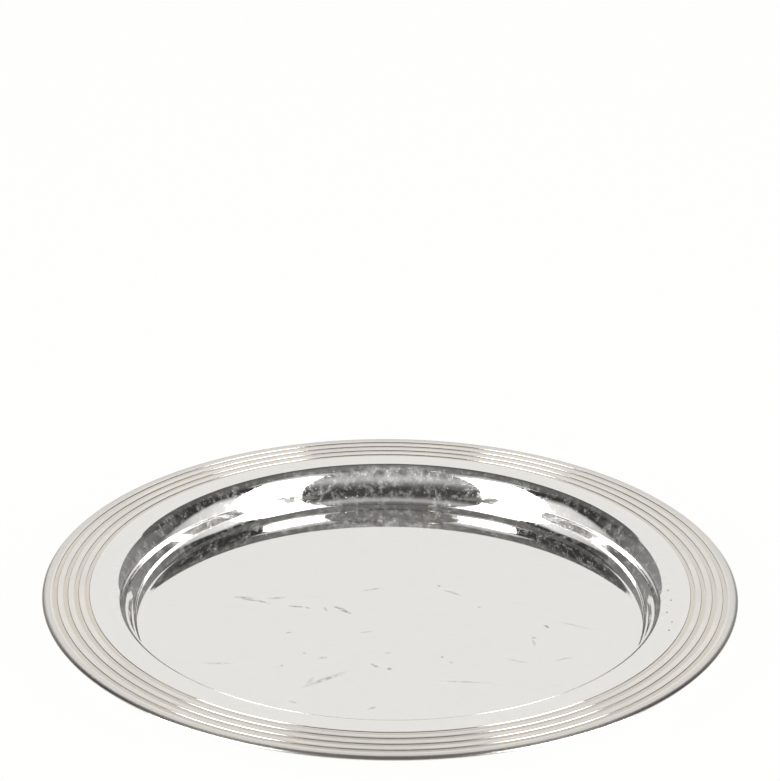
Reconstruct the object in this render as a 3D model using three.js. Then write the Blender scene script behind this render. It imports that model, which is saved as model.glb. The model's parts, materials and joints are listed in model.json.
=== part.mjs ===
// Round silver-plated bottle coaster: a pressed dish, an applied reeded border and their solder seam.
// Millimetres, +Z up. The origin is the centre of the underside, where the coaster stands on the table.
import * as THREE from "three";

// Whole coaster
const OUTER_RADIUS = 80;

// Dish, pressed from one sheet. The radii are those of its upper surface.
const SHEET_THICKNESS = 0.7;
const WELL_DEPTH = 8.7;
const WALL_ANGLE = THREE.MathUtils.degToRad(77);
const TIGHT_ANGLE = THREE.MathUtils.degToRad(45);
const FLOOR_COVE_RADIUS = 1.4;
const WALL_COVE_RADIUS = 4.5;
const WALL_BEND_RADIUS = 7.75;
const MOUTH_BEND_RADIUS = 3.85;
const PLAIN_BAND_WIDTH = 4.65;

// Border, a drawn moulding bent into a ring and let into the flange
const REED_COUNT = 3;
const REED_PITCH = 2.45;
const GROOVE_WIDTH = 1.06;
const GROOVE_DEPTH = 0.12;
const GROOVE_ANGLE = THREE.MathUtils.degToRad(55);
const WEB_THICKNESS = 0.35;
const OUTER_BAND_WIDTH = 3;
const EDGE_THICKNESS = 0.7;
const EDGE_ROLL_WIDTH = 1.5;
const EDGE_ROLL_DROP = 0.5;
const EDGE_CHAMFER = 0.15;
const SKIRT_WIDTH = 3.7;

// Solder between the edge of the flange and the border's rebate
const SOLDER_GAP = 0.3;

// Facets round the axis, and steps along the arcs of an outline
const SEGMENTS = 72;
const BEND_STEPS = 5;
const EDGE_STEPS = 5;

// Radii, working inwards from the outer edge
const BAND_START_RADIUS = OUTER_RADIUS - OUTER_BAND_WIDTH;
const BORDER_INNER_RADIUS = BAND_START_RADIUS - REED_COUNT * REED_PITCH;
const MOUTH_RADIUS = BORDER_INNER_RADIUS - PLAIN_BAND_WIDTH;
const REBATE_RADIUS = OUTER_RADIUS - SKIRT_WIDTH;
const FLANGE_RADIUS = REBATE_RADIUS - SOLDER_GAP;
const GROOVE_TOP_HALF = GROOVE_WIDTH / 2;
const GROOVE_FLOOR_HALF = GROOVE_TOP_HALF - GROOVE_DEPTH / Math.tan(GROOVE_ANGLE);

// Heights, working upwards from the table. The reeds are level with the plain band.
const BAND_TOP = SHEET_THICKNESS + WELL_DEPTH;
const BORDER_SEAT = BAND_TOP - WEB_THICKNESS;
const GROOVE_BOTTOM = BAND_TOP - GROOVE_DEPTH;
const SKIRT_BOTTOM = BAND_TOP - EDGE_THICKNESS;
const FLANGE_BOTTOM = BAND_TOP - SHEET_THICKNESS;

// An outline is a list of (radius, height) points, counter-clockwise, that is turned about the Z axis.
function point(radius, height) {
  return new THREE.Vector2(radius, height);
}

function turned(name, outline, material) {
  const geometry = new THREE.LatheGeometry(outline, SEGMENTS);
  geometry.rotateX(Math.PI / 2);
  const mesh = new THREE.Mesh(geometry, material);
  mesh.name = name;
  return mesh;
}

// Wall of the well, from the floor's edge up to the mouth. Each run turns the slope at its own radius:
// a tight cove at the floor that opens out, a straight run, and an open bend that tightens at the mouth.
const WALL_RUNS = [
  { radius: FLOOR_COVE_RADIUS, from: 0, to: TIGHT_ANGLE },
  { radius: WALL_COVE_RADIUS, from: TIGHT_ANGLE, to: WALL_ANGLE },
  { radius: WALL_BEND_RADIUS, from: WALL_ANGLE, to: TIGHT_ANGLE },
  { radius: MOUTH_BEND_RADIUS, from: TIGHT_ANGLE, to: 0 },
];

function runWidth(run, slope) {
  return run.radius * Math.abs(Math.sin(slope) - Math.sin(run.from));
}

function runHeight(run, slope) {
  return run.radius * Math.abs(Math.cos(slope) - Math.cos(run.from));
}

// The straight run takes up the height that the curved runs leave of the well's depth.
const CURVED_WIDTH = WALL_RUNS.reduce((sum, run) => sum + runWidth(run, run.to), 0);
const CURVED_HEIGHT = WALL_RUNS.reduce((sum, run) => sum + runHeight(run, run.to), 0);
const STRAIGHT_HEIGHT = WELL_DEPTH - CURVED_HEIGHT;
const STRAIGHT_WIDTH = STRAIGHT_HEIGHT / Math.tan(WALL_ANGLE);
const FLOOR_RADIUS = MOUTH_RADIUS - CURVED_WIDTH - STRAIGHT_WIDTH;

// Points of the wall at a depth into the sheet, measured square to the upper surface.
function wallOutline(depth) {
  const points = [];
  let radius = FLOOR_RADIUS;
  let height = SHEET_THICKNESS;
  for (const run of WALL_RUNS) {
    if (run.from === WALL_ANGLE) {
      radius += STRAIGHT_WIDTH;
      height += STRAIGHT_HEIGHT;
    }
    const first = run.from === TIGHT_ANGLE ? 1 : 0;
    for (let step = first; step <= BEND_STEPS; step += 1) {
      const slope = THREE.MathUtils.lerp(run.from, run.to, step / BEND_STEPS);
      points.push(point(
        radius + runWidth(run, slope) + depth * Math.sin(slope),
        height + runHeight(run, slope) - depth * Math.cos(slope),
      ));
    }
    radius += runWidth(run, run.to);
    height += runHeight(run, run.to);
  }
  return points;
}

// Sheet with a flat floor, a wall, and a flange stepped down under the border.
// Half of the first groove is its own.
function dishOutline() {
  return [
    point(0, 0),
    ...wallOutline(SHEET_THICKNESS),
    point(FLANGE_RADIUS, FLANGE_BOTTOM),
    point(FLANGE_RADIUS, BORDER_SEAT),
    point(BORDER_INNER_RADIUS, BORDER_SEAT),
    point(BORDER_INNER_RADIUS, GROOVE_BOTTOM),
    point(BORDER_INNER_RADIUS - GROOVE_FLOOR_HALF, GROOVE_BOTTOM),
    point(BORDER_INNER_RADIUS - GROOVE_TOP_HALF, BAND_TOP),
    ...wallOutline(0).reverse(),
    point(0, SHEET_THICKNESS),
  ];
}

// Flat-bottomed groove with sloping sides, given from its outer corner inwards.
// The reeds are the flats between the grooves.
function groove(middle) {
  return [
    point(middle + GROOVE_TOP_HALF, BAND_TOP),
    point(middle + GROOVE_FLOOR_HALF, GROOVE_BOTTOM),
    point(middle - GROOVE_FLOOR_HALF, GROOVE_BOTTOM),
    point(middle - GROOVE_TOP_HALF, BAND_TOP),
  ];
}

// The outer band rolls over a quarter of an ellipse to a thin edge with a chamfer below.
function edgeOutline() {
  const centre = point(OUTER_RADIUS - EDGE_ROLL_WIDTH, BAND_TOP - EDGE_ROLL_DROP);
  const roll = Array.from({ length: EDGE_STEPS + 1 }, (_, step) => {
    const angle = (step / EDGE_STEPS) * (Math.PI / 2);
    return point(centre.x + EDGE_ROLL_WIDTH * Math.cos(angle), centre.y + EDGE_ROLL_DROP * Math.sin(angle));
  });
  return [
    point(OUTER_RADIUS - EDGE_CHAMFER, SKIRT_BOTTOM),
    point(OUTER_RADIUS, SKIRT_BOTTOM + EDGE_CHAMFER),
    ...roll,
  ];
}

// Moulding with its reeds on top, a rolled outer edge and a rebate that sits over the flange's edge.
function borderOutline() {
  const grooves = [];
  for (let index = REED_COUNT; index > 0; index -= 1) {
    grooves.push(...groove(BORDER_INNER_RADIUS + index * REED_PITCH));
  }
  return [
    point(BORDER_INNER_RADIUS, BORDER_SEAT),
    point(REBATE_RADIUS, BORDER_SEAT),
    point(REBATE_RADIUS, SKIRT_BOTTOM),
    ...edgeOutline(),
    ...grooves,
    ...groove(BORDER_INNER_RADIUS).slice(0, 2),
    point(BORDER_INNER_RADIUS, GROOVE_BOTTOM),
    point(BORDER_INNER_RADIUS, BORDER_SEAT),
  ];
}

// Solder that fills the seam over the height that the flange's edge and the rebate share.
function solderOutline() {
  const bottom = Math.max(FLANGE_BOTTOM, SKIRT_BOTTOM);
  return [
    point(FLANGE_RADIUS, bottom),
    point(REBATE_RADIUS, bottom),
    point(REBATE_RADIUS, BORDER_SEAT),
    point(FLANGE_RADIUS, BORDER_SEAT),
    point(FLANGE_RADIUS, bottom),
  ];
}

const platedDish = new THREE.MeshStandardMaterial({ color: 0xd8d8d6, roughness: 0.06, metalness: 1 });
const platedBorder = new THREE.MeshStandardMaterial({ color: 0xd9d4cd, roughness: 0.12, metalness: 1 });
const softSolder = new THREE.MeshStandardMaterial({ color: 0x9a9a98, roughness: 0.45, metalness: 1 });

const coaster = new THREE.Group();
coaster.add(
  turned("dish", dishOutline(), platedDish),
  turned("reeded_border", borderOutline(), platedBorder),
  turned("solder_seam", solderOutline(), softSolder),
);

export default coaster;
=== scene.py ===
"""Dresses a round silver-plated bottle coaster and sets a plain studio round it."""
import json
import math

import bpy
import numpy as np
from bpy.props import FloatProperty, FloatVectorProperty, IntProperty, PointerProperty
from mathutils import Matrix, Vector


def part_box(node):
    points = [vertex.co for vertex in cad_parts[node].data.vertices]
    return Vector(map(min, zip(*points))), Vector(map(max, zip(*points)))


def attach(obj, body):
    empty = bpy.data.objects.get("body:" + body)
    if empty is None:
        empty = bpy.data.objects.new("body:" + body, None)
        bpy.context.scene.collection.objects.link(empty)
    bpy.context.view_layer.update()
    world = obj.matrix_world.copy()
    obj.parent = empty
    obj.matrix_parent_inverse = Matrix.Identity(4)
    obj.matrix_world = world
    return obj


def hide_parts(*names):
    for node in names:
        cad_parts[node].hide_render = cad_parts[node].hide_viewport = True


bl_info = {
    "name": "Bottle Coaster",
    "version": (1, 0, 0),
    "blender": (4, 5, 0),
    "location": "View3D > Sidebar > Coaster",
    "description": "Builds a silver-plated bottle coaster on its packed frame, with a plain studio",
    "category": "Object",
}

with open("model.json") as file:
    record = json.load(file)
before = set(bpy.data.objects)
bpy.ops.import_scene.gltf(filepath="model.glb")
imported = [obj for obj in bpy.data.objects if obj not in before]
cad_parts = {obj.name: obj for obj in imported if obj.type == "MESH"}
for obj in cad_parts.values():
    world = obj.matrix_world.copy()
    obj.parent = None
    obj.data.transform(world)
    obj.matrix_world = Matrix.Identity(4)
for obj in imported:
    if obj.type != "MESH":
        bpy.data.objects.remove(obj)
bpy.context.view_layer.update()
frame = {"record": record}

MM = 0.001
DISH_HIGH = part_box("dish")[1]
BORDER_LOW, BORDER_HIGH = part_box("reeded_border")
SEAM_LOW, SEAM_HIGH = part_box("solder_seam")
MOUNTS = {mount["name"]: mount for mount in frame["record"]["mounts"]}
FLOOR_TOP = MOUNTS["bottle_seat"]["pos_m"][2]

# Steps along a curved run and along the floor, and points across one side of a groove.
CURVE_STEPS = 32
FLOOR_STEPS = 6
SIDE_POINTS = 13
# The underside shows no fine reflections, so it takes every third row of the wall.
UNDER_STRIDE = 3
# Samples in the average that rounds a polished corner.
POLISH_SAMPLES = 41
# Flat strip beside a curve, which keeps the smooth shading from bending the flat.
FLAT_STRIP = 0.05 * MM
# Corners that turn more than this stay crisp.
SHARP_ANGLE = math.radians(25)

# Rubbing on the wall, as broad patches and as specks: size in mm, the noise levels at which it
# starts and is full, and the roughness that it adds.
RUBBING = ((2.0, 0.48, 0.70, 0.16), (0.5, 0.62, 0.70, 0.40))

# Directions of the fine scratches, in degrees.
SCRATCH_TURNS = (8, -31, 52, -64, 85)

# Marks on the floor, read off the photograph: the pixels of the two ends of each, its half
# width in mm, and how dark it is.
FLOOR_MARKS = (
    (234, 597, 254, 598.5, 0.9, 0.45), (240, 598, 256, 601, 0.5, 0.7),
    (255, 600, 270, 603.5, 0.45, 0.7), (289, 606, 303, 607, 0.45, 0.9),
    (305, 607, 310, 608.5, 0.5, 0.5), (267, 598.5, 286, 597.5, 0.7, 0.35),
    (334, 606.5, 346, 610, 0.6, 0.8), (339, 609, 351, 613.5, 0.6, 0.9),
    (324, 607, 327, 611, 0.5, 0.4), (363, 591, 381, 588, 0.5, 0.35),
    (306, 686, 345, 672, 0.9, 0.45), (307, 685, 313, 677, 0.8, 0.2),
    (371, 664, 379, 667.5, 0.5, 0.8), (388, 669, 391, 669, 0.7, 0.9),
    (368, 709, 376, 707, 0.5, 0.5), (289, 701, 296, 703, 0.5, 0.6),
    (303, 653, 306, 653, 0.5, 0.5), (319, 658, 327, 657, 0.8, 0.4),
    (280, 665, 283, 666.5, 0.6, 0.4), (286, 633, 292, 632, 0.5, 0.4),
    (205, 663, 232, 663.5, 0.6, 0.25), (443, 590, 460, 595, 0.6, 0.45),
    (437, 585, 441, 587, 0.6, 0.4), (544, 625, 549, 628, 0.5, 0.9),
    (531, 638, 537, 638, 0.7, 0.4), (533, 640, 535, 646, 0.5, 0.35),
    (441, 657, 443, 657, 0.5, 0.7), (449, 662, 454, 663, 0.5, 0.4),
    (440, 681, 490, 683, 0.5, 0.3), (508, 659, 527, 663, 0.5, 0.25),
    (555, 661, 572, 657, 0.5, 0.25), (560, 622, 590, 629, 0.5, 0.25),
    (478, 607, 481, 607, 0.6, 0.35), (360, 633, 374, 631, 0.5, 0.2),
    (384, 653, 391, 653, 0.5, 0.3),
)
# Pits in the plain band, given in the same way.
BAND_MARKS = (
    (668, 589, 668, 591, 0.35, 0.9), (671, 599, 671, 601, 0.3, 0.9),
    (667, 611, 667, 613, 0.35, 0.9), (672, 621, 672, 623, 0.3, 0.9),
    (669, 629, 669, 631, 0.35, 0.9),
)
# A mark fades to nothing at its ends, so it is drawn this much longer than it shows.
MARK_REACH = 1.3
# Gain that fills the middle of a mark before it fades towards its ends.
MARK_GAIN = 1.6

# Colours from the middle of a groove outwards, over the first 0.8 mm.
TARNISH_REACH = 0.8 * MM
TARNISH = (
    (0.0, "#E6DDCE"), (0.48, "#EBE3D8"), (0.64, "#ECE4DA"), (0.78, "#F4EEE8"), (1.0, "#FBF7F3"),
)

# How far the lamps stand from the object, further than any camera.
WALL_DISTANCE = 1.45

# Lamps on the walls: azimuths from the camera side and elevations that each fills, in degrees, and
# radiance as a share of the softboxes'.
WALL_LAMPS = (
    ("left_softbox", -75, -41, 0, 58, 1.0),
    ("right_softbox", 40, 76, 0, 58, 1.0),
    ("left_wall_glow", -95, -40, 58, 65, 0.11),
    ("right_wall_glow", 40, 92, 58, 65, 0.11),
    ("left_ceiling_glow", -95, -40, 65, 71, 0.056),
    ("right_ceiling_glow", 40, 92, 65, 71, 0.056),
)

# Small warm lamp: azimuth and elevation in degrees, width and height, radiance and colour.
CEILING_BEARING = (-54, 78)
CEILING_SIZE = (0.03, 0.06)
CEILING_STRENGTH = 4.0
CEILING_COLOUR = "#FFF3C4"

# Table and backdrop in metres, the backdrop's azimuths in degrees, and the share of each that the
# camera and the reflections see as its plain colour.
TABLE_SIZE = 6.0
TABLE_PLAIN = 0.97
BACKDROP_RADIUS = 1.5
BACKDROP_HEIGHT = 1.13
BACKDROP_SPAN = (158, 202)
BACKDROP_STEPS = 40
BACKDROP_PLAIN = 0.8

# Greys of the room in front, by height from the horizon to straight up.
FRONT_GREYS = (
    (0.0, "#3E3E3D"), (0.15, "#464645"), (0.35, "#666665"), (0.55, "#A4A3A2"),
    (0.68, "#A8A7A6"), (0.82, "#757473"), (1.0, "#565554"),
)
# Greys of the side walls, from beside the softboxes to straight behind, at three heights.
LOW_GREYS = (
    (0.0, "#F2F1F0"), (0.17, "#EEEDEC"), (0.3, "#DEDDDC"), (0.45, "#C4C3C2"),
    (0.61, "#AAA9A8"), (0.93, "#A09F9E"),
)
MIDDLE_GREYS = ((0.0, "#343433"), (0.48, "#363635"), (0.62, "#666564"), (0.93, "#8A8988"))
HIGH_GREYS = ((0.0, "#343433"), (0.75, "#363635"), (0.88, "#5A5A59"))
OVERHEAD_GREY = "#6C6B6A"

# The photograph's frame in pixels, the camera's sensor in mm, and how near and how far the camera
# sees in metres.
PICTURE_WIDTH = 780
PICTURE_HEIGHT = 781
SENSOR_WIDTH = 36
CLIP_RANGE = (0.01, 50)


def linear(hex_colour):
    """sRGB hex text to linear red, green, blue and alpha."""
    channels = np.array([int(hex_colour[i:i + 2], 16) for i in (1, 3, 5)]) / 255
    low = channels / 12.92
    high = ((channels + 0.055) / 1.055) ** 2.4
    return (*np.where(channels <= 0.04045, low, high), 1.0)


class DishSettings(bpy.types.PropertyGroup):
    """Sizes of the pressed dish's upper surface that the frame's box doesn't give."""

    floor_cove: FloatProperty(
        name="Floor Cove", description="Radius where the wall leaves the floor",
        default=1.4 * MM, min=0.5 * MM, unit="LENGTH",
    )
    wall_cove: FloatProperty(
        name="Wall Cove", description="Radius of the upper part of the cove",
        default=4.5 * MM, min=0.5 * MM, unit="LENGTH",
    )
    wall_bend: FloatProperty(
        name="Wall Bend", description="Radius of the lower part of the bend",
        default=7.75 * MM, min=0.5 * MM, unit="LENGTH",
    )
    mouth_bend: FloatProperty(
        name="Mouth Bend", description="Radius where the wall turns into the plain band",
        default=3.85 * MM, min=1 * MM, unit="LENGTH",
    )
    wall_angle: FloatProperty(
        name="Wall Angle", description="Steepest slope of the wall above the level",
        default=math.radians(75.5), subtype="ANGLE",
    )
    tight_angle: FloatProperty(
        name="Tight Angle", description="Slope at which the cove and the bend change their radius",
        default=math.radians(45), subtype="ANGLE",
    )
    plain_band: FloatProperty(
        name="Plain Band",
        description="Width of the smooth band between the mouth's bend and the border",
        default=4.65 * MM, min=1 * MM, unit="LENGTH",
    )
    segments: IntProperty(
        name="Segments", description="Steps round the axis", default=480, min=48,
    )


class BorderSettings(bpy.types.PropertyGroup):
    """Sizes of the reeded border that the frame's box doesn't give."""

    reed_count: IntProperty(
        name="Reeds", description="Whole reeds inside the outer band", default=3, min=1,
    )
    reed_pitch: FloatProperty(
        name="Reed Pitch", description="Distance from one reed to the next",
        default=2.45 * MM, min=0.5 * MM, unit="LENGTH",
    )
    groove_width: FloatProperty(
        name="Groove Width", description="Width of a groove at its top",
        default=1.06 * MM, min=0.1 * MM, unit="LENGTH",
    )
    groove_depth: FloatProperty(
        name="Groove Depth", description="Depth of a groove's flat bottom",
        default=0.12 * MM, min=0.02 * MM, unit="LENGTH",
    )
    groove_angle: FloatProperty(
        name="Groove Angle", description="Slope of a groove's sides",
        default=math.radians(55), subtype="ANGLE",
    )
    outer_band: FloatProperty(
        name="Outer Band", description="Width of the band outside the middle of the last groove",
        default=3 * MM, min=2 * MM, unit="LENGTH",
    )
    roll_width: FloatProperty(
        name="Roll Width", description="Width over which the band rolls down to the edge",
        default=1.0 * MM, min=0.1 * MM, unit="LENGTH",
    )
    roll_drop: FloatProperty(
        name="Roll Drop", description="Height that the roll loses",
        default=0.5 * MM, min=0.1 * MM, unit="LENGTH",
    )
    edge_chamfer: FloatProperty(
        name="Edge Chamfer", description="Chamfer at the edge's lower corner",
        default=0.15 * MM, min=0.01 * MM, unit="LENGTH",
    )
    polish: FloatProperty(
        name="Polish",
        description="Length over which polishing has rounded the corners of the grooves",
        default=0.04 * MM, min=0.01 * MM, unit="LENGTH",
    )


class StageSettings(bpy.types.PropertyGroup):
    """Camera, lamps and backdrop."""

    camera_distance: FloatProperty(
        name="Camera Distance", description="From the middle of the rim to the lens",
        default=0.700, unit="LENGTH",
    )
    camera_elevation: FloatProperty(
        name="Camera Elevation", description="Angle above the table",
        default=math.radians(27.15), subtype="ANGLE",
    )
    camera_roll: FloatProperty(
        name="Camera Roll", description="Tilt of the picture's level",
        default=math.radians(0.455), subtype="ANGLE",
    )
    aim_lift: FloatProperty(
        name="Aim Lift",
        description="Height of the point aimed at above the rim, which sets the object low",
        default=48.1 * MM, unit="LENGTH",
    )
    aim_side: FloatProperty(
        name="Aim Side", description="Sideways place of the point aimed at",
        default=-0.39 * MM, unit="LENGTH",
    )
    focal_pixels: FloatProperty(
        name="Focal Length", description="Focal length in pixels of the photograph's frame",
        default=3025.0,
    )
    lamp_strength: FloatProperty(
        name="Lamp Strength", description="Radiance of the two large softboxes", default=5.0,
    )
    backdrop_colour: FloatVectorProperty(
        name="Backdrop", description="Pale board behind the object", subtype="COLOR", size=4,
        default=linear("#E8E7E5"),
    )
    floor_colour: FloatVectorProperty(
        name="Floor", description="White table top", subtype="COLOR", size=4,
        default=linear("#FFFFFE"),
    )


def quarter_ellipse(outer, level, width, drop):
    """Points of a roll from an upright edge to a level top.

    At the angle a, the radius is outer - width (1 - cos a) and the height level - drop (1 - sin a).
    """
    angle = np.linspace(0, math.pi / 2, CURVE_STEPS + 1)
    radii = outer - width * (1 - np.cos(angle))
    return np.stack([radii, level - drop * (1 - np.sin(angle))], axis=1)


def straight(start, end, steps):
    """Points between two ends, without the ends themselves."""
    share = np.linspace(0, 1, steps + 1)[1:-1, None]
    return np.asarray(start) * (1 - share) + np.asarray(end) * share


def turned_mesh(name, outline, segments, closed):
    """Outline of (radius, height) points carried round Z: x = r cos a, y = r sin a, z = h.

    A closed outline joins its last ring to its first; an open one starts and ends on the axis.
    """
    rings = outline if closed else outline[1:-1]
    angle = np.arange(segments) * (2 * math.pi / segments)
    grid = np.empty((len(rings), segments, 3))
    grid[..., 0] = rings[:, :1] * np.cos(angle)
    grid[..., 1] = rings[:, :1] * np.sin(angle)
    grid[..., 2] = rings[:, 1:]
    points = grid.reshape(-1, 3)
    index = np.arange(len(points)).reshape(len(rings), segments)
    lower = index if closed else index[:-1]
    upper = np.roll(index, -1, axis=0) if closed else index[1:]
    quads = np.stack([lower, np.roll(lower, -1, 1), np.roll(upper, -1, 1), upper], axis=-1)
    corners = quads.ravel()
    starts = np.arange(len(corners) // 4) * 4
    if not closed:
        poles = np.array([[0, 0, outline[0, 1]], [0, 0, outline[-1, 1]]])
        first, last = len(points), len(points) + 1
        points = np.concatenate([points, poles])
        below = np.stack([np.full(segments, first), np.roll(index[0], -1), index[0]], axis=-1)
        above = np.stack([np.full(segments, last), index[-1], np.roll(index[-1], -1)], axis=-1)
        fans = np.concatenate([below, above])
        starts = np.concatenate([starts, len(corners) + np.arange(len(fans)) * 3])
        corners = np.concatenate([corners, fans.ravel()])
    mesh = bpy.data.meshes.new(name)
    mesh.vertices.add(len(points))
    mesh.vertices.foreach_set("co", points.ravel())
    mesh.loops.add(len(corners))
    mesh.loops.foreach_set("vertex_index", corners.astype(np.int32))
    mesh.polygons.add(len(starts))
    mesh.polygons.foreach_set("loop_start", starts.astype(np.int32))
    mesh.polygons.foreach_set("use_smooth", np.ones(len(starts), dtype=bool))
    mesh.update(calc_edges=True)
    mesh.set_sharp_from_angle(angle=SHARP_ANGLE)
    return mesh


def place(name, mesh, material, node):
    """Puts a finished mesh in the scene in place of its CAD node, riding on the one body."""
    piece = bpy.data.objects.new(name, mesh)
    bpy.context.collection.objects.link(piece)
    mesh.materials.append(material)
    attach(piece, "root")
    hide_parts(node)


def add(tree, kind, links=(), values=(), stops=(), **settings):
    """Adds one node with its settings, input values, colour stops and links.

    A link is a source and an input. The source is a socket, or a node whose first output is meant.
    """
    node = tree.nodes.new(kind)
    for key, value in settings.items():
        setattr(node, key, value)
    for target, value in values:
        node.inputs[target].default_value = value
    if stops:
        elements = node.color_ramp.elements
        while len(elements) < len(stops):
            elements.new(0.5)
        for element, (position, colour) in zip(elements, stops):
            element.position = position
            element.color = linear(colour)
    for source, target in links:
        socket = source.outputs[0] if isinstance(source, bpy.types.Node) else source
        tree.links.new(socket, node.inputs[target])
    return node


def new_material(name):
    """Material with an empty node tree, and that tree."""
    material = bpy.data.materials.new(name)
    material.use_nodes = True
    material.node_tree.nodes.clear()
    return material, material.node_tree


def from_axis(tree):
    """Object coordinates, the same without their height, and the distance from the axis."""
    place_at = add(tree, "ShaderNodeTexCoord").outputs["Object"]
    flat = add(
        tree, "ShaderNodeVectorMath", operation="MULTIPLY",
        links=[(place_at, 0)], values=[(1, (1, 1, 0))],
    )
    radius = add(tree, "ShaderNodeVectorMath", operation="LENGTH", links=[(flat, 0)])
    return place_at, flat, radius.outputs["Value"]


def rubbed_wall(tree, place_at, flat, radius, mouth, floor_edge):
    """Roughness that rubbing and dried polish add to the wall of the well."""
    # It lies between the floor's edge and the mouth, where cloths and bottles rub.
    inside = add(
        tree, "ShaderNodeMapRange", links=[(radius, "Value")],
        values=[("From Min", floor_edge), ("From Max", floor_edge + 1 * MM)],
    )
    outside = add(
        tree, "ShaderNodeMapRange", links=[(radius, "Value")],
        values=[
            ("From Min", mouth - 2 * MM), ("From Max", mouth - 0.5 * MM),
            ("To Min", 1), ("To Max", 0),
        ],
    )
    wall = add(tree, "ShaderNodeMath", operation="MULTIPLY", links=[(inside, 0), (outside, 1)])
    layers = []
    for size, low, high, roughness in RUBBING:
        noise = add(
            tree, "ShaderNodeTexNoise", links=[(place_at, "Vector")],
            values=[("Scale", 1 / (size * MM)), ("Detail", 8.0), ("Roughness", 0.7)],
        )
        layers.append(add(
            tree, "ShaderNodeMapRange", links=[(noise.outputs["Fac"], "Value")],
            values=[("From Min", low), ("From Max", high), ("To Max", roughness)],
        ))
    patches, specks = layers
    rubbing = add(tree, "ShaderNodeMath", operation="ADD", links=[(patches, 0), (specks, 1)])
    # A cloud of dried polish lies on the bend at the back, mottled about every 2.4 mm. It is
    # thickest about 4 mm inside the mouth and ends 1 mm further in.
    spread = add(
        tree, "ShaderNodeMapping", vector_type="TEXTURE", links=[(flat, "Vector")],
        values=[
            ("Location", (-1 * MM, mouth - 4 * MM, 0)), ("Scale", (21 * MM, 8 * MM, 1)),
        ],
    )
    cloud = add(
        tree, "ShaderNodeTexGradient", gradient_type="SPHERICAL", links=[(spread, "Vector")],
    )
    upper = add(
        tree, "ShaderNodeMapRange", links=[(radius, "Value")],
        values=[("From Min", mouth - 4.9 * MM), ("From Max", mouth - 3.8 * MM)],
    )
    on_bend = add(
        tree, "ShaderNodeMath", operation="MULTIPLY",
        links=[(cloud.outputs["Fac"], 0), (upper, 1)],
    )
    mottle = add(
        tree, "ShaderNodeTexNoise", links=[(place_at, "Vector")],
        values=[("Scale", 1 / (2.4 * MM)), ("Detail", 8.0), ("Roughness", 0.7)],
    )
    mottled = add(
        tree, "ShaderNodeMapRange", links=[(mottle.outputs["Fac"], "Value")],
        values=[("From Min", 0.36), ("From Max", 0.68), ("To Max", 0.28)],
    )
    haze = add(
        tree, "ShaderNodeMath", operation="MULTIPLY_ADD",
        links=[(on_bend, 0), (mottled, 1), (rubbing, 2)],
    )
    return add(tree, "ShaderNodeMath", operation="MULTIPLY", links=[(wall, 0), (haze, 1)])


def scratched(tree, place_at, flat, marks):
    """How much a place is scratched or marked, from 0 to 1."""
    layers = []
    # Fine scratches about 8 mm long and 0.2 mm wide.
    for turn in SCRATCH_TURNS:
        along = add(
            tree, "ShaderNodeMapping", links=[(place_at, "Vector")],
            values=[
                ("Rotation", (0, 0, math.radians(turn))),
                ("Scale", (1 / (8 * MM), 1 / (0.2 * MM), 1 / (3 * MM))),
            ],
        )
        lines = add(
            tree, "ShaderNodeTexNoise", links=[(along, "Vector")],
            values=[("Scale", 1.0), ("Detail", 2.0)],
        )
        layers.append(add(
            tree, "ShaderNodeMapRange", links=[(lines.outputs["Fac"], "Value")],
            values=[("From Min", 0.70), ("From Max", 0.86), ("To Max", 0.3)],
        ))
    # The larger marks, each a long spot that fades towards its ends and is broken up into crumbs
    # about 1 mm long.
    crumbs = add(
        tree, "ShaderNodeTexNoise", links=[(flat, "Vector")],
        values=[("Scale", 1 / (1 * MM)), ("Detail", 3.0), ("Roughness", 0.6)],
    )
    broken = add(
        tree, "ShaderNodeMapRange", links=[(crumbs.outputs["Fac"], "Value")],
        values=[("From Min", 0.35), ("From Max", 0.6), ("To Min", 0.25), ("To Max", 1.6)],
    )
    # They are on the upper side of the sheet only.
    height = add(tree, "ShaderNodeSeparateXYZ", links=[(place_at, 0)]).outputs["Z"]
    upper_side = add(
        tree, "ShaderNodeMath", operation="GREATER_THAN",
        links=[(height, 0)], values=[(1, FLOOR_TOP / 2)],
    )
    crumbling = add(
        tree, "ShaderNodeMath", operation="MULTIPLY", links=[(broken, 0), (upper_side, 1)],
    )
    for middle, turn, length, width, dark in marks:
        spot = add(
            tree, "ShaderNodeMapping", vector_type="TEXTURE", links=[(flat, "Vector")],
            values=[
                ("Location", (middle.x, middle.y, 0)), ("Rotation", (0, 0, turn)),
                ("Scale", (length, width, 1)),
            ],
        )
        fade = add(
            tree, "ShaderNodeTexGradient", gradient_type="SPHERICAL", links=[(spot, "Vector")],
        )
        crumbled = add(
            tree, "ShaderNodeMath", operation="MULTIPLY",
            links=[(fade.outputs["Fac"], 0), (crumbling, 1)],
        )
        layers.append(add(
            tree, "ShaderNodeMath", operation="MULTIPLY", use_clamp=True,
            links=[(crumbled, 0)], values=[(1, MARK_GAIN * dark)],
        ))
    deepest = layers[0]
    for layer in layers[1:]:
        deepest = add(
            tree, "ShaderNodeMath", operation="MAXIMUM", links=[(deepest, 0), (layer, 1)],
        )
    return deepest


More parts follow.
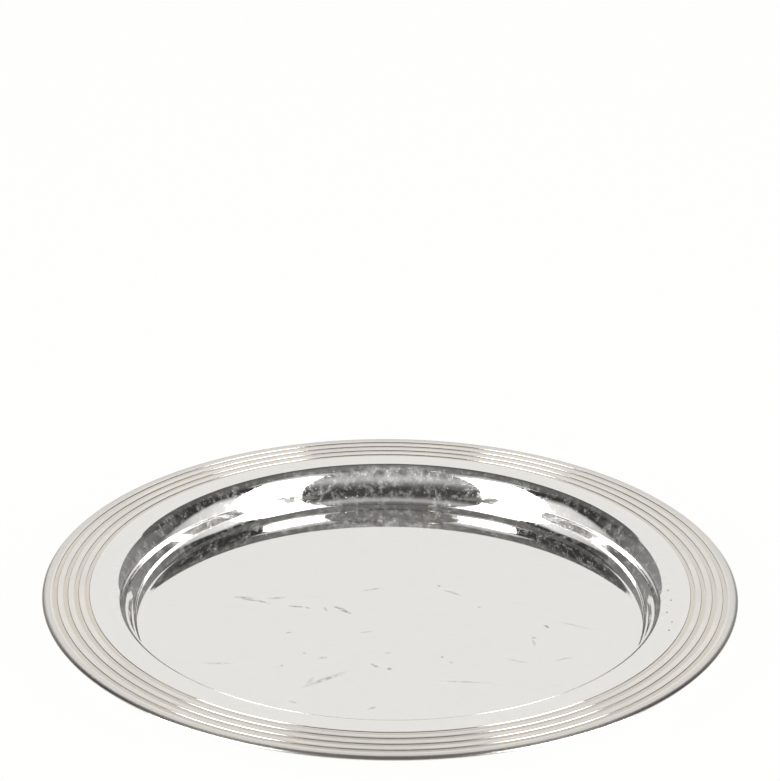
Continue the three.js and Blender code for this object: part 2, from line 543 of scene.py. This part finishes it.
def polished_silver_plate(inner, mouth, floor_edge, marks):
    """Silver plate polished by hand: a bright mirror with fine scratches, hazy where rubbed."""
    material, tree = new_material("polished_silver_plate")
    place_at, flat, radius = from_axis(tree)
    haze = rubbed_wall(tree, place_at, flat, radius, mouth, floor_edge)
    scratches = scratched(tree, place_at, flat, marks)
    roughness = add(
        tree, "ShaderNodeMath", operation="ADD", links=[(haze, 0)], values=[(1, 0.04)],
    )
    # Dried polish has stayed on the rubbed patches and specks as a thin pale film.
    bare = add(
        tree, "ShaderNodeMapRange", links=[(haze, "Value")],
        values=[("From Max", 0.5), ("To Min", 1), ("To Max", 0.25)],
    )
    # Tarnish has crept out of the groove beside the border.
    crept = add(
        tree, "ShaderNodeMapRange", links=[(radius, "Value")],
        values=[
            ("From Min", inner - 0.66 * MM), ("From Max", inner - 0.5 * MM), ("To Max", 0.7),
        ],
    )
    clean = add(
        tree, "ShaderNodeMix", data_type="RGBA", links=[(scratches, "Factor")],
        values=[("A", linear("#F9F8F6")), ("B", linear("#BFBDB8"))],
    )
    colour = add(
        tree, "ShaderNodeMix", data_type="RGBA",
        links=[(crept, "Factor"), (clean.outputs["Result"], "A")],
        values=[("B", linear("#E2DACC"))],
    )
    bump = add(
        tree, "ShaderNodeBump", links=[(scratches, "Height")],
        values=[("Strength", 0.1), ("Distance", 0.01 * MM)],
    )
    shader = add(
        tree, "ShaderNodeBsdfPrincipled",
        links=[
            (colour.outputs["Result"], "Base Color"), (bare, "Metallic"),
            (roughness, "Roughness"), (bump, "Normal"),
        ],
    )
    add(tree, "ShaderNodeOutputMaterial", links=[(shader, "Surface")])
    return material


def tarnished_silver_plate(inner, outer, border):
    """Silver plate on the reeds: polished on top, with a warm tarnish left in the grooves."""
    material, tree = new_material("tarnished_silver_plate")
    place_at, _, radius = from_axis(tree)
    # Distance from the middle of the nearest groove.
    from_first = add(
        tree, "ShaderNodeMath", operation="SUBTRACT", links=[(radius, 0)], values=[(1, inner)],
    )
    wrapped = add(
        tree, "ShaderNodeMath", operation="WRAP", links=[(from_first, 0)],
        values=[(1, border.reed_pitch / 2), (2, -border.reed_pitch / 2)],
    )
    away = add(tree, "ShaderNodeMath", operation="ABSOLUTE", links=[(wrapped, 0)])
    share = add(
        tree, "ShaderNodeMapRange", links=[(away, "Value")],
        values=[("From Max", TARNISH_REACH)],
    )
    tarnish = add(tree, "ShaderNodeValToRGB", links=[(share, "Fac")], stops=TARNISH)
    # Tarnish comes and goes round the rim in patches about 14 mm long.
    patches = add(
        tree, "ShaderNodeTexNoise", links=[(place_at, "Vector")],
        values=[("Scale", 1 / (14 * MM)), ("Detail", 3.0)],
    )
    amount = add(
        tree, "ShaderNodeMapRange", links=[(patches.outputs["Fac"], "Value")],
        values=[("From Min", 0.3), ("From Max", 0.7), ("To Min", 0.25), ("To Max", 0.95)],
    )
    # The outer band has none beyond its own groove.
    in_reeds = add(
        tree, "ShaderNodeMath", operation="LESS_THAN", links=[(radius, 0)],
        values=[(1, inner + (border.reed_count + 0.45) * border.reed_pitch)],
    )
    strength = add(
        tree, "ShaderNodeMath", operation="MULTIPLY", links=[(amount, 0), (in_reeds, 1)],
    )
    colour = add(
        tree, "ShaderNodeMix", data_type="RGBA",
        links=[(strength, "Factor"), (tarnish, "B")], values=[("A", linear("#EAE6E2"))],
    )
    dulled = add(
        tree, "ShaderNodeMapRange", links=[(share, "Value")],
        values=[("From Min", 0.5), ("From Max", 1.0), ("To Min", 0.17), ("To Max", 0.12)],
    )
    # Handling has worn the rolled edge, which is duller.
    worn = add(
        tree, "ShaderNodeMapRange", links=[(radius, "Value")],
        values=[
            ("From Min", outer - 1.2 * MM), ("From Max", outer - 0.7 * MM), ("To Max", 0.08),
        ],
    )
    roughness = add(tree, "ShaderNodeMath", operation="ADD", links=[(dulled, 0), (worn, 1)])
    # Drawing and polishing leave lines along the moulding, which spread a highlight across it.
    along = add(tree, "ShaderNodeTangent", direction_type="RADIAL", axis="Z")
    shader = add(
        tree, "ShaderNodeBsdfPrincipled",
        links=[
            (colour.outputs["Result"], "Base Color"), (roughness, "Roughness"),
            (along, "Tangent"),
        ],
        values=[("Metallic", 1.0), ("Anisotropic", 0.9), ("Anisotropic Rotation", 0.25)],
    )
    add(tree, "ShaderNodeOutputMaterial", links=[(shader, "Surface")])
    return material


def soft_solder():
    """Tin solder: a dull grey metal with a slightly uneven skin."""
    material, tree = new_material("soft_solder")
    place_at = add(tree, "ShaderNodeTexCoord").outputs["Object"]
    # Grain about 1.5 mm across.
    grain = add(
        tree, "ShaderNodeTexNoise", links=[(place_at, "Vector")],
        values=[("Scale", 1 / (1.5 * MM)), ("Detail", 4.0)],
    )
    colour = add(
        tree, "ShaderNodeMix", data_type="RGBA", links=[(grain.outputs["Fac"], "Factor")],
        values=[("A", linear("#A3A29F")), ("B", linear("#C2C1BD"))],
    )
    skin = add(
        tree, "ShaderNodeBump", links=[(grain.outputs["Fac"], "Height")],
        values=[("Strength", 0.4), ("Distance", 0.1 * MM)],
    )
    shader = add(
        tree, "ShaderNodeBsdfPrincipled",
        links=[(colour.outputs["Result"], "Base Color"), (skin, "Normal")],
        values=[("Metallic", 1.0), ("Roughness", 0.45)],
    )
    add(tree, "ShaderNodeOutputMaterial", links=[(shader, "Surface")])
    return material


def facing(position, target):
    """Rotation that turns local -Z to face the target and keeps local Y upright."""
    back = (Vector(position) - Vector(target)).normalized()
    side = Vector((0, 0, 1)).cross(back).normalized()
    return Matrix((side, back.cross(side), back)).transposed()


def bearing(azimuth, elevation):
    """Unit direction from the object, in degrees. Azimuth runs from the camera to the right."""
    a, e = math.radians(azimuth), math.radians(elevation)
    return Vector((math.sin(a) * math.cos(e), -math.cos(a) * math.cos(e), math.sin(e)))


def camera_view(stage):
    """Where the photograph's camera stands, and the rotation that turns it to its aim."""
    middle = Vector((0, 0, DISH_HIGH.z))
    elevation = math.degrees(stage.camera_elevation)
    position = middle + bearing(0, elevation) * stage.camera_distance
    turn = facing(position, middle + Vector((stage.aim_side, 0, stage.aim_lift)))
    return position, turn @ Matrix.Rotation(stage.camera_roll, 3, "Z")


def seen_at(stage, x, y, level):
    """Point at a height that a pixel of the photograph shows.

    In the camera's own axes the ray runs along x - half the width, half the height - y, and minus
    the focal length. It is followed from the camera until it has that height.
    """
    position, turn = camera_view(stage)
    across, up = x - PICTURE_WIDTH / 2, PICTURE_HEIGHT / 2 - y
    ray = turn @ Vector((across, up, -stage.focal_pixels))
    return position + ray * ((level - position.z) / ray.z)


def placed_marks(stage):
    """Middle, turn, half length, half width and darkness of each mark, on the face it lies on."""
    marks = []
    for level, rows in ((FLOOR_TOP, FLOOR_MARKS), (DISH_HIGH.z, BAND_MARKS)):
        for x0, y0, x1, y1, half_width, dark in rows:
            start, end = seen_at(stage, x0, y0, level), seen_at(stage, x1, y1, level)
            line, width = end - start, half_width * MM
            length = max(MARK_REACH * line.length / 2, width)
            turn = math.atan2(line.y, line.x)
            marks.append(((start + end) / 2, turn, length, width, dark))
    return marks


def border_radius(border):
    """Inner radius of the border, which is the middle of its first groove."""
    return BORDER_HIGH.x - border.outer_band - border.reed_count * border.reed_pitch


def groove_halves(border):
    """Half widths of a groove at its top and at its flat bottom."""
    top = border.groove_width / 2
    return top, top - border.groove_depth / math.tan(border.groove_angle)


def grooved_top(border, radii):
    """Points of the rim's top at the given radii: flats at one height, parted by grooves.

    The straight facets are averaged over the polish length with a triangular weight, which rounds
    every corner.
    """
    level, bottom = DISH_HIGH.z, DISH_HIGH.z - border.groove_depth
    top, floor = groove_halves(border)
    middles = border_radius(border) + np.arange(border.reed_count + 1) * border.reed_pitch
    across = (middles[:, None] + np.array([-top, -floor, floor, top])).ravel()
    heights = np.tile([level, bottom, bottom, level], len(middles))
    offsets = np.linspace(-1, 1, POLISH_SAMPLES)
    weights = 1 - np.abs(offsets)
    samples = np.interp(radii[:, None] + offsets * border.polish, across, heights)
    return np.stack([radii, samples @ (weights / weights.sum())], axis=1)


def groove_sides(border, groove):
    """Radii across the two sides of one groove, close enough for their rounded corners."""
    middle = border_radius(border) + groove * border.reed_pitch
    top, floor = groove_halves(border)
    side = np.linspace(floor - border.polish, top + border.polish, SIDE_POINTS)
    return np.concatenate([middle - side[::-1], middle + side])


def wall_section(dish, mouth, sheet, band_top):
    """Wall from the floor's edge to the mouth, as rows of radius, height and slope.

    A curved run of radius R turns the slope from a to b, which moves the radius by
    R |sin b - sin a| and the height by R |cos b - cos a|. A straight run at the wall's angle takes
    up the height that the four curved runs leave.
    """
    steep, tight = dish.wall_angle, dish.tight_angle
    runs = (
        (dish.floor_cove, 0, tight), (dish.wall_cove, tight, steep),
        (dish.wall_bend, steep, tight), (dish.mouth_bend, tight, 0),
    )
    curves = []
    for radius, start, end in runs:
        slope = np.linspace(start, end, CURVE_STEPS + 1)
        moves = [np.sin(slope) - math.sin(start), np.cos(slope) - math.cos(start)]
        curves.append((start, slope, radius * np.abs(np.stack(moves, axis=1))))
    width, height = sum(moves[-1] for start, slope, moves in curves)
    straight_height = band_top - sheet - height
    straight_width = straight_height / math.tan(steep)
    at = np.array([mouth - width - straight_width, sheet])
    rows = []
    for start, slope, moves in curves:
        if start == steep:
            at = at + (straight_width, straight_height)
        first = 1 if start == tight else 0
        rows.append(np.column_stack([at + moves, slope])[first:])
        at = at + moves[-1]
    return np.concatenate(rows)


class COASTER_OT_dish(bpy.types.Operator):
    """Builds the pressed dish with its floor, wall, mouth bend and flange"""

    bl_idname = "coaster.dish"
    bl_label = "Dish"

    def execute(self, context):
        dish, border = context.scene.coaster_dish, context.scene.coaster_border
        sheet, band_top = FLOOR_TOP, DISH_HIGH.z
        flange_radius, seat = DISH_HIGH.x, SEAM_HIGH.z
        inner = border_radius(border)
        mouth = inner - dish.plain_band
        wall = wall_section(dish, mouth, sheet, band_top)
        radius, height, slope = wall[::UNDER_STRIDE].T
        under = np.stack([radius + sheet * np.sin(slope), height - sheet * np.cos(slope)], axis=1)
        floor_radius = wall[0, 0]
        flat_end = floor_radius - FLAT_STRIP
        sides = groove_sides(border, 0)
        shoulder = grooved_top(border, np.append(sides[sides <= inner], inner))[::-1]
        outline = np.concatenate([
            [(0, 0)],
            straight((0, 0), (flat_end, 0), FLOOR_STEPS),
            [(flat_end, 0)],
            under,
            [(mouth + FLAT_STRIP, band_top - sheet)],
            [(flange_radius, band_top - sheet), (flange_radius, seat), (inner, seat)],
            shoulder,
            [(mouth + FLAT_STRIP, band_top)],
            wall[::-1, :2],
            [(flat_end, sheet)],
            straight((flat_end, sheet), (0, sheet), FLOOR_STEPS),
            [(0, sheet)],
        ])
        mesh = turned_mesh("dish_plate", outline, dish.segments, closed=False)
        marks = placed_marks(context.scene.coaster_stage)
        plate = polished_silver_plate(inner, mouth, floor_radius, marks)
        place("dish_plate", mesh, plate, "dish")
        return {"FINISHED"}


class COASTER_OT_border(bpy.types.Operator):
    """Builds the border with its reeds, rolled edge and rebate"""

    bl_idname = "coaster.border"
    bl_label = "Reeded Border"

    def execute(self, context):
        border, segments = context.scene.coaster_border, context.scene.coaster_dish.segments
        inner = border_radius(border)
        outer, skirt, level = BORDER_HIGH.x, BORDER_LOW.z, DISH_HIGH.z
        seat, rebate = SEAM_HIGH.z, SEAM_HIGH.x
        chamfer = border.edge_chamfer
        grooves = range(border.reed_count + 1)
        radii = np.concatenate([groove_sides(border, groove) for groove in grooves])
        top = grooved_top(border, np.append(inner, radii[radii > inner]))
        outline = np.concatenate([
            [(inner, seat), (rebate, seat), (rebate, skirt)],
            [(outer - chamfer, skirt), (outer, skirt + chamfer)],
            quarter_ellipse(outer, level, border.roll_width, border.roll_drop),
            [(outer - border.roll_width - FLAT_STRIP, level)],
            top[::-1],
        ])
        mesh = turned_mesh("reeded_border_plate", outline, segments, closed=True)
        plate = tarnished_silver_plate(inner, outer, border)
        place("reeded_border_plate", mesh, plate, "reeded_border")
        return {"FINISHED"}


class COASTER_OT_seam(bpy.types.Operator):
    """Builds the ring of solder in the seam under the border"""

    bl_idname = "coaster.seam"
    bl_label = "Solder Seam"

    def execute(self, context):
        inner, outer = DISH_HIGH.x, SEAM_HIGH.x
        low, high = SEAM_LOW.z, SEAM_HIGH.z
        outline = np.array([(inner, low), (outer, low), (outer, high), (inner, high)])
        segments = context.scene.coaster_dish.segments
        mesh = turned_mesh("solder_ring", outline, segments, closed=True)
        place("solder_ring", mesh, soft_solder(), "solder_seam")
        return {"FINISHED"}


def table_mesh(name, size):
    """Level square about the origin."""
    mesh = bpy.data.meshes.new(name)
    half = size / 2
    corners = [(-half, -half, 0), (half, -half, 0), (half, half, 0), (-half, half, 0)]
    mesh.from_pydata(corners, [], [(0, 1, 2, 3)])
    return mesh


def area_lamp(name, position, target, width, height, strength, colour):
    """Rectangular lamp of a given radiance that faces a target."""
    lamp = bpy.data.lights.new(name, "AREA")
    lamp.shape = "RECTANGLE"
    lamp.size, lamp.size_y = width, height
    lamp.energy = strength * math.pi * width * height
    lamp.color = linear(colour)[:3]
    holder = bpy.data.objects.new(name, lamp)
    holder.matrix_world = Matrix.Translation(position) @ facing(position, target).to_4x4()
    holder.visible_camera = False
    bpy.context.collection.objects.link(holder)


def wall_lamp(name, left, right, low, high, strength):
    """Upright white lamp that fills a range of azimuth and of elevation, in degrees.

    At the wall's distance d, half its width is d tan of half the azimuths, and its ends are at
    d tan of the elevations.
    """
    width = 2 * WALL_DISTANCE * math.tan(math.radians(right - left) / 2)
    bottom, top = (WALL_DISTANCE * math.tan(math.radians(end)) for end in (low, high))
    middle = Vector((0, 0, (bottom + top) / 2))
    position = bearing((left + right) / 2, 0) * WALL_DISTANCE + middle
    area_lamp(name, position, middle, width, top - bottom, strength, "#FFFFFF")


def curved_board(name, radius, height, start, end):
    """Upright board bent round the object, between two azimuths in degrees."""
    mesh = bpy.data.meshes.new(name)
    azimuths = np.linspace(start, end, BACKDROP_STEPS + 1)
    sides = [bearing(azimuth, 0) * radius for azimuth in azimuths]
    points = [(side.x, side.y, z) for z in (0, height) for side in sides]
    count = len(sides)
    faces = [(i, i + 1, count + i + 1, count + i) for i in range(BACKDROP_STEPS)]
    mesh.from_pydata(points, [], faces)
    return mesh


def pale_surface(name, colour, plain):
    """Painted board: diffuse, with a share of its plain colour for the camera and reflections."""
    material, tree = new_material(name)
    path = add(tree, "ShaderNodeLightPath").outputs
    seen = add(
        tree, "ShaderNodeMath", operation="MAXIMUM",
        links=[(path["Is Camera Ray"], 0), (path["Is Glossy Ray"], 1)],
    )
    amount = add(
        tree, "ShaderNodeMath", operation="MULTIPLY", links=[(seen, 0)], values=[(1, plain)],
    )
    board = add(tree, "ShaderNodeBsdfDiffuse", values=[("Color", colour)])
    glow = add(tree, "ShaderNodeEmission", values=[("Color", colour)])
    mix = add(tree, "ShaderNodeMixShader", links=[(amount, 0), (board, 1), (glow, 2)])
    add(tree, "ShaderNodeOutputMaterial", links=[(mix, "Surface")])
    return material


class COASTER_OT_stage(bpy.types.Operator):
    """Builds the table, backdrop, lamps and camera"""

    bl_idname = "coaster.stage"
    bl_label = "Studio"

    def execute(self, context):
        stage = context.scene.coaster_stage
        context.scene.view_settings.view_transform = "Standard"
        floor = bpy.data.objects.new("table_top", table_mesh("table_top", TABLE_SIZE))
        paint = pale_surface("table_paint", tuple(stage.floor_colour), TABLE_PLAIN)
        floor.data.materials.append(paint)
        curve = curved_board("backdrop", BACKDROP_RADIUS, BACKDROP_HEIGHT, *BACKDROP_SPAN)
        board = bpy.data.objects.new("backdrop", curve)
        paint = pale_surface("backdrop_paint", tuple(stage.backdrop_colour), BACKDROP_PLAIN)
        board.data.materials.append(paint)
        for item in (floor, board):
            context.collection.objects.link(item)
        for name, left, right, low, high, share in WALL_LAMPS:
            wall_lamp(name, left, right, low, high, stage.lamp_strength * share)
        area_lamp(
            "ceiling_lamp", bearing(*CEILING_BEARING) * WALL_DISTANCE, (0, 0, 0),
            *CEILING_SIZE, CEILING_STRENGTH, CEILING_COLOUR,
        )
        self.room(context)
        self.camera(context)
        return {"FINISHED"}

    def room(self, context):
        """Room for light and reflections, and plain white behind the object for the camera.

        In front it is a dim grey. At the sides it is pale low down, up to an edge that falls
        towards the back, and dark above that. Overhead it is grey.
        """
        world = bpy.data.worlds.new("studio_room")
        world.use_nodes = True
        tree = world.node_tree
        tree.nodes.clear()
        direction = add(tree, "ShaderNodeTexCoord").outputs["Generated"]
        height = add(tree, "ShaderNodeSeparateXYZ", links=[(direction, 0)]).outputs["Z"]
        level = add(
            tree, "ShaderNodeVectorMath", operation="MULTIPLY",
            links=[(direction, 0)], values=[(1, (1, 1, 0))],
        )
        compass = add(tree, "ShaderNodeVectorMath", operation="NORMALIZE", links=[(level, 0)])
        depth = add(tree, "ShaderNodeSeparateXYZ", links=[(compass, 0)]).outputs["Y"]
        # The change from front to side lies behind the softboxes, 58 degrees from the camera.
        at_side = add(
            tree, "ShaderNodeMapRange", links=[(depth, "Value")],
            values=[("From Min", -0.55), ("From Max", -0.5)],
        )
        backwards = add(
            tree, "ShaderNodeMapRange", links=[(depth, "Value")], values=[("From Min", -0.5)],
        )
        front = add(tree, "ShaderNodeValToRGB", links=[(height, "Fac")], stops=FRONT_GREYS)
        low, middle, high = (
            add(tree, "ShaderNodeValToRGB", links=[(backwards, "Fac")], stops=greys)
            for greys in (LOW_GREYS, MIDDLE_GREYS, HIGH_GREYS)
        )
        edge = add(
            tree, "ShaderNodeMapRange", links=[(depth, "Value")],
            values=[("From Max", 0.42), ("To Min", 0.6), ("To Max", 0.05)],
        )
        over = add(tree, "ShaderNodeMath", operation="SUBTRACT", links=[(height, 0), (edge, 1)])
        above = add(
            tree, "ShaderNodeMapRange", links=[(over, "Value")],
            values=[("From Min", -0.09), ("From Max", 0.07)],
        )
        higher = add(
            tree, "ShaderNodeMapRange", links=[(height, "Value")],
            values=[("From Min", 0.45), ("From Max", 0.6)],
        )
        dark = add(
            tree, "ShaderNodeMix", data_type="RGBA",
            links=[(higher, "Factor"), (middle, "A"), (high, "B")],
        )
        wall = add(
            tree, "ShaderNodeMix", data_type="RGBA",
            links=[(above, "Factor"), (low, "A"), (dark.outputs["Result"], "B")],
        )
        overhead = add(
            tree, "ShaderNodeMapRange", links=[(height, "Value")],
            values=[("From Min", 0.76), ("From Max", 0.92)],
        )
        side = add(
            tree, "ShaderNodeMix", data_type="RGBA",
            links=[(overhead, "Factor"), (wall.outputs["Result"], "A")],
            values=[("B", linear(OVERHEAD_GREY))],
        )
        room = add(
            tree, "ShaderNodeMix", data_type="RGBA",
            links=[(at_side, "Factor"), (front, "A"), (side.outputs["Result"], "B")],
        )
        grey = add(tree, "ShaderNodeBackground", links=[(room.outputs["Result"], "Color")])
        white = add(tree, "ShaderNodeBackground", values=[("Color", (1, 1, 1, 1))])
        seen = add(tree, "ShaderNodeLightPath").outputs["Is Camera Ray"]
        mix = add(tree, "ShaderNodeMixShader", links=[(seen, 0), (grey, 1), (white, 2)])
        add(tree, "ShaderNodeOutputWorld", links=[(mix, "Surface")])
        context.scene.world = world

    def camera(self, context):
        """Camera at the photograph's angle, aimed above the rim so that the coaster lies low."""
        stage = context.scene.coaster_stage
        lens = bpy.data.cameras.new("camera")
        lens.sensor_width = SENSOR_WIDTH
        lens.lens = stage.focal_pixels / PICTURE_HEIGHT * SENSOR_WIDTH
        lens.clip_start, lens.clip_end = CLIP_RANGE
        camera = bpy.data.objects.new("camera", lens)
        position, turn = camera_view(stage)
        camera.matrix_world = Matrix.Translation(position) @ turn.to_4x4()
        context.collection.objects.link(camera)
        context.scene.camera = camera


class COASTER_PT_panel(bpy.types.Panel):
    """Lists the coaster's operators and sizes"""

    bl_idname = "COASTER_PT_panel"
    bl_label = "Bottle Coaster"
    bl_space_type = "VIEW_3D"
    bl_region_type = "UI"
    bl_category = "Coaster"

    def draw(self, context):
        for operator in OPERATORS:
            self.layout.operator(operator.bl_idname)
        for group in GROUPS:
            settings = getattr(context.scene, group)
            box = self.layout.box()
            for name in settings.bl_rna.properties.keys():
                if name not in {"rna_type", "name"}:
                    box.prop(settings, name)


GROUPS = {
    "coaster_dish": DishSettings,
    "coaster_border": BorderSettings,
    "coaster_stage": StageSettings,
}
OPERATORS = (COASTER_OT_dish, COASTER_OT_border, COASTER_OT_seam, COASTER_OT_stage)
CLASSES = (*GROUPS.values(), *OPERATORS, COASTER_PT_panel)


def register():
    for item in CLASSES:
        bpy.utils.register_class(item)
    for name, group in GROUPS.items():
        setattr(bpy.types.Scene, name, PointerProperty(type=group))


def unregister():
    for name in GROUPS:
        delattr(bpy.types.Scene, name)
    for item in reversed(CLASSES):
        bpy.utils.unregister_class(item)


def main():
    register()
    bpy.ops.coaster.dish()
    bpy.ops.coaster.border()
    bpy.ops.coaster.seam()
    bpy.ops.coaster.stage()


if __name__ == "__main__":
    main()
